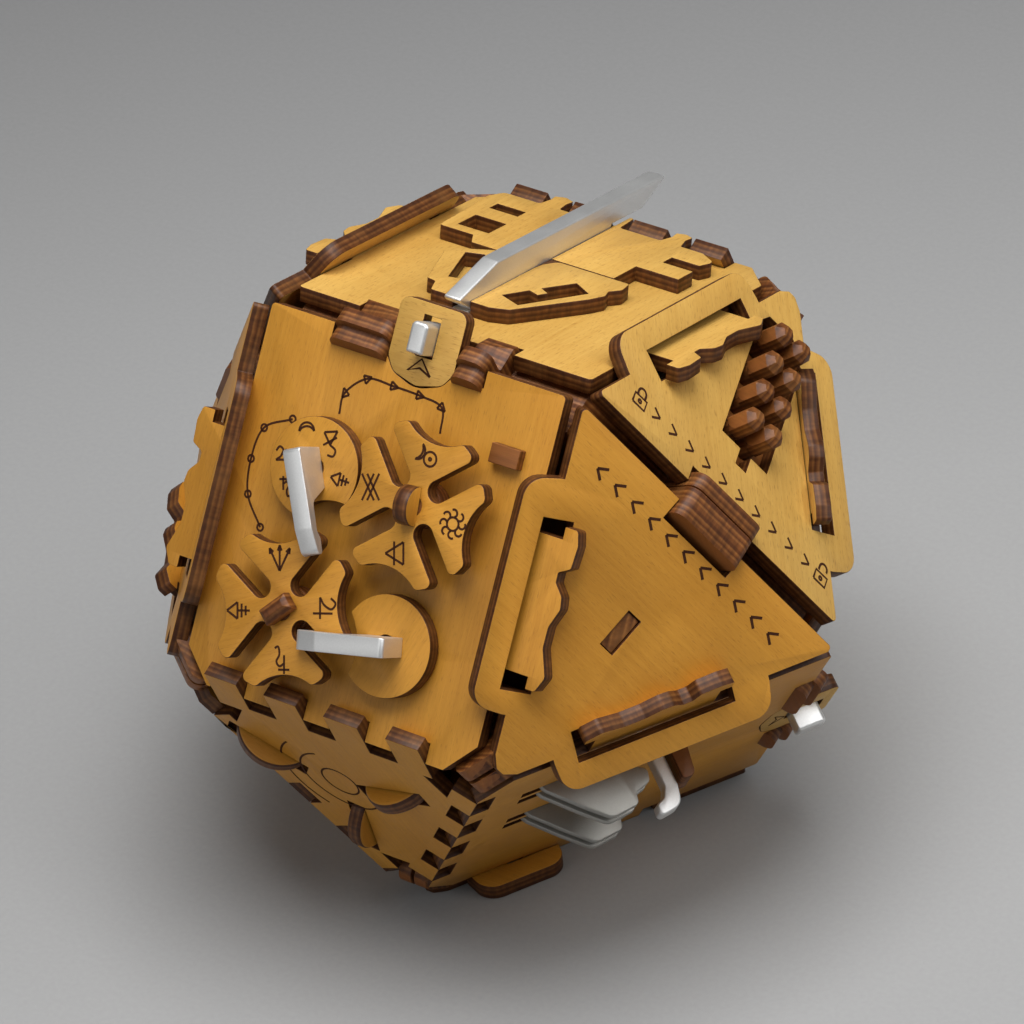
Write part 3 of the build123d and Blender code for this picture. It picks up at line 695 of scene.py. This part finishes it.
@dataclass
class Engraving:
    """Set of burnt lines on one face, made as one mesh that rides on the face's body."""

    name: str
    face: FaceFrame
    body: str
    material: bpy.types.Material
    width_mm: float = 0.42
    height_mm: float = LINE_RISE_MM
    paths: list[Path] = field(default_factory=list)

    def draw(self, *paths: Path) -> None:
        """Add paths given in fractions of the edge length."""
        self.paths.extend(path * EDGE_MM for path in paths)

    def build(self) -> bpy.types.Object:
        """Join all ribbons into one mesh on the face.

        Returns:
            The engraved lines' object.
        """
        vertices, quads, total = [], [], 0
        for path in self.paths:
            length = np.linalg.norm(np.diff(path, axis=0), axis=1)
            spans = [path[i:i + 2] for i in range(len(path) - 1) if length[i] > 0]
            pieces = [path] if len(path) > 4 else spans
            for piece in pieces:
                spots, faces = ribbon(piece, self.width_mm, self.height_mm)
                vertices.append(spots)
                quads.append(faces + total)
                total += len(spots)
        mesh = bpy.data.meshes.new(self.name)
        mesh.from_pydata(self.face.place(np.vstack(vertices)).tolist(), [], np.vstack(quads).tolist())
        work = bmesh.new()
        work.from_mesh(mesh)
        bmesh.ops.recalc_face_normals(work, faces=work.faces)
        work.to_mesh(mesh)
        work.free()
        mesh.materials.append(self.material)
        piece = bpy.data.objects.new(self.name, mesh)
        bpy.context.scene.collection.objects.link(piece)
        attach(piece, self.body)
        return piece


class Sign(Enum):
    """Generic signs engraved on wheels: plain circles, crescents, triangles, crosses and arrows."""

    SUN = "sun"
    MOON = "moon"
    DOT_AND_MOON = "dot_and_moon"
    HOURGLASS = "hourglass"
    TRIANGLE_BAR = "triangle_bar"
    TRIANGLE_CROSS = "triangle_cross"
    ARROWS = "arrows"
    HOOKED_CROSS = "hooked_cross"
    CURL_BAR = "curl_bar"
    KITE_CURL = "kite_curl"


def sign_paths(sign: Sign) -> list[Path]:
    """Strokes of a sign drawn in a circle of radius one.

    Args:
        sign: which sign.

    Returns:
        One path for each stroke.
    """
    if sign is Sign.SUN:
        rays = [moved(arc(0.75, 0.12, 0.28, -150, 40, 10), 0, 0, 45 * i) for i in range(8)]
        return [arc(0, 0, 0.48, 0, 360, 30)] + rays
    if sign is Sign.MOON:
        return [arc(0, 0.1, 0.85, 180, 360, 26), arc(0, 0.62, 1.0, 211, 329, 20)]
    if sign is Sign.DOT_AND_MOON:
        return [arc(0, -0.25, 0.52, 0, 360, 30), arc(0, -0.25, 0.10, 0, 360, 10),
                arc(0, 0.95, 0.62, 190, 350, 20), arc(0, 1.25, 0.72, 222, 318, 16)]
    if sign is Sign.HOURGLASS:
        strokes = []
        for shift in (-0.22, 0.22):
            strokes += [line((shift - 0.5, 0.95), (shift + 0.5, -0.95)),
                        line((shift + 0.5, 0.95), (shift - 0.5, -0.95))]
        return strokes
    if sign is Sign.TRIANGLE_BAR:
        return [line((-0.8, -0.65), (0.8, -0.65), (0, 0.85), (-0.8, -0.65)),
                line((-0.85, 0.12), (0.85, 0.12))]
    if sign is Sign.TRIANGLE_CROSS:
        return [line((-0.6, 0.05), (0.6, 0.05), (0, 0.95), (-0.6, 0.05)), line((0, 0.05), (0, -1.0)),
                line((-0.5, -0.3), (0.5, -0.3)), line((-0.35, -0.65), (0.35, -0.65))]
    if sign is Sign.ARROWS:
        strokes = []
        for turn in (-28, 0, 28):
            shaft = line((0, 0), (0, 1.75))
            head = line((-0.16, 1.45), (0, 1.85), (0.16, 1.45))
            strokes += [moved(part, 0, -0.9, turn) for part in (shaft, head)]
        return strokes
    if sign is Sign.HOOKED_CROSS:
        return [line((-0.15, 1.0), (-0.15, -0.35)), line((-0.6, 0.7), (0.35, 0.7)),
                smooth(line((-0.15, 0.25), (0.25, 0.45), (0.5, 0.1), (0.25, -0.4), (0.35, -0.95),
                            (0.65, -0.85)), 24)]
    if sign is Sign.CURL_BAR:
        return [smooth(line((-0.7, 0.55), (-0.3, 0.95), (0.1, 0.6), (-0.2, 0.0), (-0.75, -0.35)), 24),
                line((-0.75, -0.35), (0.8, -0.35)), line((0.4, 0.7), (0.4, -0.95))]
    return [line((-0.6, 0.85), (0.55, 0.9), (-0.1, -0.1), (-0.6, 0.85)), line((-0.7, -0.1), (0.5, 0.45)),
            smooth(line((-0.1, -0.1), (0.35, -0.5), (0.15, -0.95), (-0.35, -0.85)), 18)]


def sign_at(sign: Sign, x: float, y: float, turn_deg: float, size: float) -> list[Path]:
    """Strokes of a sign moved to a place on a face, in fractions of the edge length."""
    return [moved(path, x, y, turn_deg, size) for path in sign_paths(sign)]


# ---- sub-assemblies ----------------------------------------------------------------------------
@dataclass
class Dresser:
    """Holds the finishes and groups that every sub-assembly uses."""

    groups: Groups
    front: PlywoodFinish
    bright: PlywoodFinish
    dark: PlywoodFinish
    metal: bpy.types.Material
    # Darker copy of the aluminium: painted shade for the levers.
    painted_shade_metal: bpy.types.Material
    scorch: bpy.types.Material

    def ply(self, node: str, plate: PlateFrame, finish: PlywoodFinish, width_mm: float = 0.16) -> None:
        """Show a node as soft-edged plywood."""
        SoftEdged(node, finish.material(self.groups, plate, node), width_mm).build()
        LOG.info("plywood %s", node)

    def metals(self, node: str, width_mm: float = 0.35, painted_shade_metal: bool = False) -> None:
        """Show a node as soft-edged aluminium, or as the darker copy of it that has painted shade."""
        SoftEdged(node, self.painted_shade_metal if painted_shade_metal else self.metal, width_mm, 3).build()
        LOG.info("metal %s", node)


@dataclass
class Shell:
    """Fourteen panels, the decks between the halves and the posts in the corners."""

    dresser: Dresser
    squares: tuple[tuple[str, float], ...] = (("front", 270), ("right", 30), ("left", 150))
    low_triangles: tuple[tuple[str, float], ...] = (("triangle_front_low", 330), ("triangle_left_low", 210),
                                                    ("triangle_rest", 90))
    up_triangles: tuple[tuple[str, float], ...] = (("triangle_front_up", 330), ("triangle_left_up", 210),
                                                   ("triangle_back_up", 90))

    def build(self) -> None:
        """Dress every panel with its grain in its own plane."""
        dress = self.dresser
        for label, azimuth in self.squares:
            for half, ending in ((Half.LOW, "low"), (Half.UP, "up")):
                face = FaceFrame(FaceKind.SQUARE, azimuth, half)
                finish = dress.front if half is Half.LOW else dress.bright
                dress.ply(f"square_{label}_{ending}", face.turned(90, 0, 0, 0), finish)
        for names, half in ((self.low_triangles, Half.LOW), (self.up_triangles, Half.UP)):
            for node, azimuth in names:
                face = FaceFrame(FaceKind.TRIANGLE, azimuth, half)
                finish = dress.front if half is Half.LOW else dress.bright
                dress.ply(node, face.turned(0 if half is Half.LOW else -60, 0, 0, 0), finish)
        dress.ply("cap_low", CAP_LOW.turned(20, 0, 0, 0), dress.front)
        dress.ply("cap_up", CAP_UP.turned(60, 0, 0, 0), dress.bright)
        for node in ("deck_low", "deck_up", "turning_axle"):
            dress.ply(node, CAP_UP.turned(0, 0, 0, -CAP_DIST_MM + DECK_TOP_MM), dress.dark, 0.12)
        for node, cap in (("corner_posts_low", CAP_LOW), ("corner_posts_up", CAP_UP)):
            dress.ply(node, cap.turned(0, 0, 0, 0), dress.dark, 0.12)
        for index in range(3):
            face = FaceFrame(FaceKind.SQUARE, (270 + 120 * index) % 360, Half.LOW)
            dress.ply(f"pointer_{index + 1}", face.turned(0, 0, 0, 0), dress.bright)
            dress.metals(f"knob_{index + 1}", 0.3)
            arrow = Engraving(f"arrow_{index + 1}", face, "lower", dress.scorch)
            arrow.draw(line((-0.055, -0.432), (-0.020, -0.470), (0.014, -0.432), (-0.020, -0.446),
                            (-0.055, -0.432)))
            arrow.build()


@dataclass
class FrontWheels:
    """Star wheels, crank discs, their keys and arms, and the tracks engraved beside them."""

    dresser: Dresser
    stars: tuple[tuple[float, float, float], ...] = ((-0.147, -0.125, -5.0), (0.148, 0.232, 18.0))
    discs: tuple[tuple[float, float], ...] = ((0.182, -0.128), (-0.145, 0.242))
    key_turns: tuple[float, float] = (95.0, 48.0)
    star_top_mm: float = 6.70
    disc_top_mm: float = 3.35
    sign_reach: float = 0.128

    def build(self) -> None:
        """Dress the wheels and engrave their signs."""
        dress = self.dresser
        petals = (((Sign.HOURGLASS, 196), (Sign.TRIANGLE_BAR, 286), (Sign.SUN, 0), (Sign.DOT_AND_MOON, 254)),
                  ((Sign.TRIANGLE_CROSS, 286), (Sign.HOOKED_CROSS, 16), (Sign.CURL_BAR, 106),
                   (Sign.ARROWS, 196)))
        for index, (x, y, turn) in enumerate(self.stars):
            number = index + 1
            dress.ply(f"star_{number}", FRONT_LOW.turned(30, x, y, self.star_top_mm), dress.front)
            key = FRONT_LOW.turned(self.key_turns[index], x, y, self.star_top_mm)
            plate = PlateFrame(key.origin, key.along, key.normal, key.across)
            dress.ply(f"hub_key_{number}", plate, dress.front if number == 1 else dress.dark)
            lines = Engraving(f"star_signs_{number}", FRONT_LOW, f"star_wheel_{number}", dress.scorch,
                              height_mm=self.star_top_mm + LINE_RISE_MM)
            for petal, (sign, sign_turn) in enumerate(petals[index]):
                angle = turn + 90 * petal
                lines.draw(*sign_at(sign, *self.spot(x, y, angle, self.sign_reach), sign_turn, 0.035))
            lines.build()
        for number, (x, y) in enumerate(self.discs, 1):
            dress.ply(f"crank_disc_{number}", FRONT_LOW.turned(70, x, y, self.disc_top_mm), dress.front)
            dress.metals(f"crank_arm_{number}")
        x, y = self.discs[0]
        lines = Engraving("disc_signs_1", FRONT_LOW, "crank_1", dress.scorch,
                          height_mm=self.disc_top_mm + LINE_RISE_MM)
        marks = ((Sign.MOON, -61.5, 0.098, 16, 0.026), (Sign.KITE_CURL, -114, 0.080, 196, 0.034),
                 (Sign.TRIANGLE_CROSS, 175, 0.082, 270, 0.029), (Sign.CURL_BAR, -2, 0.098, 196, 0.026),
                 (Sign.HOOKED_CROSS, 44, 0.098, 196, 0.026))
        for sign, angle, reach, sign_turn, size in marks:
            lines.draw(*sign_at(sign, *self.spot(x, y, angle, reach), sign_turn, size))
        lines.build()
        self.tracks()
        plain = FRONT_LOW.turned(0, 0, 0, 0)
        dress.ply("front_pegs", plain, dress.dark)
        dress.ply("wheel_pivots", plain, dress.dark, 0.1)

    @staticmethod
    def spot(x: float, y: float, angle_deg: float, reach: float) -> tuple[float, float]:
        """Place at a reach and angle from a wheel's centre."""
        return (x + reach * math.cos(math.radians(angle_deg)), y + reach * math.sin(math.radians(angle_deg)))

    def tracks(self) -> None:
        """Engrave the track of rings and the track of small triangles."""
        lines = Engraving("tracks", FRONT_LOW, "lower", self.dresser.scorch)
        rings = [(0.305, -0.222), (0.381, -0.178), (0.397, -0.092), (0.381, -0.003), (0.322, 0.068)]
        curve = smooth(line(*rings), 60)
        lines.draw(curve)
        for x, y in rings:
            lines.draw(arc(x, y, 0.009, 0, 360, 14))
        marks = [(0.176, -0.272), (0.174, -0.328), (0.119, -0.380), (0.039, -0.382), (-0.040, -0.380),
                 (-0.110, -0.368), (-0.123, -0.305)]
        lines.draw(smooth(line(*marks), 70))
        for index, (x, y) in enumerate(marks[1:-1]):
            turn = (-60, -150, -180, -180, 150)[index]
            mark = line((-0.011, -0.009), (0.011, -0.009), (0.0, 0.013), (-0.011, -0.009))
            lines.draw(moved(mark, x, y, turn - 90))
        lines.build()


@dataclass
class ArrowRows:
    """Rows of chevrons and the two padlock signs on the front triangles."""

    dresser: Dresser
    low_step: float = 0.0665
    up_step: float = 0.0655

    def chevron(self, x: float, y: float, size: float) -> Path:
        """One chevron pointing along +u."""
        return line((x - size, y + size), (x + size * 0.55, y), (x - size, y - size))

    def padlock(self, x: float, y: float, opened: bool) -> list[Path]:
        """Padlock: a box, a keyhole and a shackle that is shut or lifted open.

        Args:
            x: place along u, in edge lengths.
            y: place along v, in edge lengths.
            opened: whether the shackle is lifted.

        Returns:
            One path for each stroke.
        """
        size = 0.022
        box = line((-1, -1), (1, -1), (1, 0.35), (-1, 0.35), (-1, -1))
        hole = arc(0, -0.3, 0.22, 0, 360, 12)
        shackle = np.vstack([line((-0.62, 0.35), (-0.62, 0.9)), arc(0, 0.9, 0.62, 180, 0, 14),
                             line((0.62, 0.9), (0.62, 0.7 if opened else 0.35))])
        if opened:
            shackle = shackle + np.array([0.0, 0.25])
        return [moved(part, x, y, 0, size) for part in (box, hole, shackle)]

    def build(self) -> None:
        """Engrave both rows."""
        lower = Engraving("chevrons_low", TRIANGLE_LOW, "lower", self.dresser.scorch, width_mm=0.55)
        for index in range(11):
            lower.draw(self.chevron(-0.325 + self.low_step * index, -0.187, 0.0175))
        lower.build()
        upper = Engraving("chevrons_up", TRIANGLE_UP, "upper", self.dresser.scorch, width_mm=0.50)
        for index in range(10):
            upper.draw(self.chevron(-0.275 + self.up_step * index, -0.150, 0.0165))
        upper.draw(*self.padlock(-0.342, -0.150, False), *self.padlock(0.372, -0.150, True))
        upper.build()


@dataclass
class TopFin:
    """Sliding fin and the raised plates beside it."""

    dresser: Dresser

    def build(self) -> None:
        """Dress the fin and the overlays."""
        self.dresser.metals("fin")
        turns = {"right_low": 90, "right_high": 88, "left_low": 92, "left_high": 90}
        for label, turn in turns.items():
            plate = FRONT_UP.turned(turn, 0.1, 0.2, PLY_MM)
            self.dresser.ply(f"overlay_{label}", plate, self.dresser.bright)


@dataclass
class PegRow:
    """Eight faceted pegs and the bored rack behind their window."""

    dresser: Dresser

    def build(self) -> None:
        """Dress the pegs with their layers lying along them."""
        _, u, v, n = TRIANGLE_UP.axes()
        base = TRIANGLE_UP.turned(0, 0, 0, -PLY_MM)
        self.dresser.ply("peg_rack", base, self.dresser.dark)
        for number in range(1, 9):
            low, high = (np.array(corner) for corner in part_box(f"row_peg_{number}"))
            centre = (low + high) / 2 / MM + u * 1.5
            plate = PlateFrame(tuple(centre), tuple(n), tuple(v), tuple(u))
            self.dresser.ply(f"row_peg_{number}", plate, self.dresser.dark, 0.14)


@dataclass
class LowerRight:
    """Rocking levers, their shaft, the hook and its guide."""

    dresser: Dresser

    def build(self) -> None:
        """Dress the levers and the hook."""
        for number in range(1, 5):
            # The levers take the darker aluminium copy, whose colour is painted shade.
            self.dresser.metals(f"lever_{number}", 0.2, painted_shade_metal=True)
        self.dresser.metals("hook", 0.35)
        _, u, v, n = RIGHT_LOW.axes()
        plain = RIGHT_LOW.turned(0, 0, 0, 0)
        side = PlateFrame(plain.origin, tuple(v), tuple(n), tuple(u))
        self.dresser.ply("hook_guide", side, self.dresser.dark)
        self.dresser.ply("lever_shaft", side, self.dresser.dark, 0.1)


@dataclass
class CapWheels:
    """Thumb wheels in the lower cap and the rings engraved round them."""

    dresser: Dresser
    wheels: tuple[tuple[float, float, float], ...] = ((-0.045, -0.262, 62), (-0.030, 0.125, 110),
                                                      (0.222, -0.055, -8))

    def build(self) -> None:
        """Dress the wheels and engrave the rings."""
        dress = self.dresser
        for index, (x, y, turn) in enumerate(self.wheels):
            flat = CAP_LOW.turned(turn, x, y, -WHEEL_DEEP_MM)
            centre = np.array(flat.origin) + np.array(flat.across) * PLY_MM / 2
            plate = PlateFrame(tuple(centre), flat.along, flat.normal, flat.across)
            dress.ply(f"thumb_wheel_{index + 1}", plate, dress.front, 0.12)
        dress.ply("thumb_axles", CAP_LOW.turned(0, 0, 0, -PLY_MM), dress.dark, 0.1)
        lines = Engraving("cap_rings", CAP_LOW, "lower", dress.scorch)
        lines.draw(arc(0, -0.05, 0.055, 0, 360, 40), arc(0, -0.05, 0.118, 200, 440, 50),
                   arc(0, -0.05, 0.175, 225, 330, 40))
        lines.build()


# ---- studio ------------------------------------------------------------------------------------
@dataclass
class Studio:
    """Grey paper sweep with painted shade that darkens it a little behind the object, soft lights and the
    camera.
    """

    azimuth: float = 37.6407
    elevation: float = 37.7177
    roll: float = -6.7094
    distance_m: float = 1.25
    target_mm: tuple[float, float, float] = (-1.289, 2.584, 62.452)
    lens_mm: float = 234.35
    curl_from_m: float = 1.70
    curl_m: float = 0.60
    paper_reach_m: float = 2.5
    # Distances along the camera's heading over which the paper goes from the near grey to the far grey:
    # painted shade for light falling off behind the object.
    painted_falloff_m: tuple[float, float] = (0.08, 0.30)
    lights: tuple[tuple[str, tuple[float, float, float], float, float], ...] = (
        ("top", (0.04, -0.02, 0.80), 0.55, 7.0),
        ("side", (0.75, 0.15, 0.75), 0.6, 3.4),
        ("front", (-0.35, -1.2, 0.75), 0.9, 2.6),
    )
    sky_strength: float = 0.15

    def camera(self) -> None:
        """Camera on a sphere round its target, looking in and rolled."""
        azimuth, elevation = math.radians(self.azimuth), math.radians(self.elevation)
        away = Vector((math.sin(azimuth) * math.cos(elevation), -math.cos(azimuth) * math.cos(elevation),
                       math.sin(elevation)))
        target = Vector(self.target_mm) * MM
        data = bpy.data.cameras.new("camera")
        data.lens = self.lens_mm
        data.sensor_width = 36.0
        data.clip_start = 0.05
        data.clip_end = 20.0
        camera = bpy.data.objects.new("camera", data)
        level = (-away).to_track_quat("-Z", "Y").to_matrix()
        spin = Matrix.Rotation(math.radians(self.roll), 3, "Z")
        camera.matrix_world = Matrix.Translation(target + away * self.distance_m) @ (level @ spin).to_4x4()
        bpy.context.scene.collection.objects.link(camera)
        bpy.context.scene.camera = camera

    def area(self, name: str, spot: tuple[float, float, float], size: float, power: float) -> None:
        """Square area light aimed at the object's middle.

        Args:
            name: the light's name.
            spot: its place in metres.
            size: its side in metres.
            power: its power in watts.
        """
        data = bpy.data.lights.new(name, "AREA")
        data.size = size
        data.energy = power
        light = bpy.data.objects.new(name, data)
        light.location = spot
        aim = Vector((0, 0, 0.06)) - Vector(spot)
        light.rotation_euler = aim.to_track_quat("-Z", "Y").to_euler()
        bpy.context.scene.collection.objects.link(light)

    def sweep(self) -> None:
        """Grey paper that lies flat in front and curls up behind the object.

        Along the camera's level heading the paper is flat up to curl_from_m, and from there it
        follows a circle of radius curl_m: height is the radius minus its cosine part.
        """
        material, nodes, shader = start_material("grey_paper")
        coords = nodes.add("ShaderNodeTexCoord")
        tooth = nodes.noise(nodes.stretch(coords.outputs["Object"], (900.0, 900.0, 900.0)), 2.0)
        heading = math.radians(self.azimuth)
        ahead = np.array([-math.sin(heading), math.cos(heading), 0.0])
        depth = nodes.add("ShaderNodeVectorMath", operation="DOT_PRODUCT")
        nodes.join(coords.outputs["Object"], depth.inputs[0])
        depth.inputs[1].default_value = tuple(ahead)
        # Painted shade: the paper's colour is darker further behind the object, in place of the light
        # falling off with distance.
        painted_falloff = nodes.add("ShaderNodeMapRange")
        nodes.join(depth.outputs["Value"], painted_falloff.inputs["Value"])
        painted_falloff.inputs["From Min"].default_value, painted_falloff.inputs["From Max"].default_value = self.painted_falloff_m
        near = nodes.mix(tooth, (0.322, 0.322, 0.322, 1.0), (0.358, 0.358, 0.358, 1.0))
        far = nodes.mix(tooth, (0.218, 0.218, 0.219, 1.0), (0.240, 0.240, 0.241, 1.0))
        nodes.join(nodes.mix(painted_falloff.outputs["Result"], near, far), shader.inputs["Base Color"])
        shader.inputs["Roughness"].default_value = 0.95
        shader.inputs["Specular IOR Level"].default_value = 0.1
        side = np.array([math.cos(heading), math.sin(heading), 0.0])
        bend = np.linspace(0.0, math.radians(80), 40)
        runs = np.concatenate([[-self.paper_reach_m], self.curl_from_m + self.curl_m * np.sin(bend)])
        heights = np.concatenate([[0.0], self.curl_m * (1 - np.cos(bend))])
        rows = [run * ahead + np.array([0.0, 0.0, height]) for run, height in zip(runs, heights)]
        vertices = [tuple(row + swing * self.paper_reach_m * side) for row in rows for swing in (-1, 1)]
        faces = [(2 * i, 2 * i + 1, 2 * i + 3, 2 * i + 2) for i in range(len(rows) - 1)]
        mesh = bpy.data.meshes.new("sweep")
        mesh.from_pydata(vertices, [], faces)
        mesh.shade_smooth()
        mesh.materials.append(material)
        sweep = bpy.data.objects.new("sweep", mesh)
        sweep.location = (0, 0, -0.0002)
        bpy.context.scene.collection.objects.link(sweep)

    def build(self) -> None:
        """Make the floor, the lights, the sky and the camera."""
        self.sweep()
        for name, spot, size, power in self.lights:
            self.area(name, spot, size, power)
        world = bpy.data.worlds.new("studio")
        world.use_nodes = True
        backdrop = world.node_tree.nodes["Background"]
        backdrop.inputs["Color"].default_value = (1.0, 1.0, 1.0, 1.0)
        backdrop.inputs["Strength"].default_value = self.sky_strength
        bpy.context.scene.world = world
        bpy.context.scene.view_settings.view_transform = "Standard"
        self.camera()


def main() -> None:
    """Build the box's looks in order."""
    logging.basicConfig(level=logging.INFO)
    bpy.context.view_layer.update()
    groups = Groups()
    front = PlywoodFinish("amber_birch", (0.575, 0.272, 0.035), (0.410, 0.172, 0.017))
    bright = PlywoodFinish("honey_birch", (0.612, 0.369, 0.091), (0.450, 0.237, 0.046), pore_strength=0.45)
    dark = PlywoodFinish("burnt_birch", (0.270, 0.095, 0.022), (0.150, 0.048, 0.011), pore_strength=0.5,
                          edge_gain=0.95)
    # Darker, rougher copy of the same aluminium, with painted shade standing in for the dark floor and
    # shadow that the levers reflect.
    painted_shade_metal = MetalFinish("painted_shade_aluminium", (0.42, 0.41, 0.38), 0.46)
    dresser = Dresser(groups, front, bright, dark, MetalFinish().material(groups), painted_shade_metal.material(groups),
                      ScorchFinish().material())
    for assembly in (Shell(dresser), FrontWheels(dresser), ArrowRows(dresser), TopFin(dresser),
                     PegRow(dresser), LowerRight(dresser), CapWheels(dresser), Studio()):
        assembly.build()
        LOG.info("built %s", type(assembly).__name__)


if __name__ == "__main__":
    main()
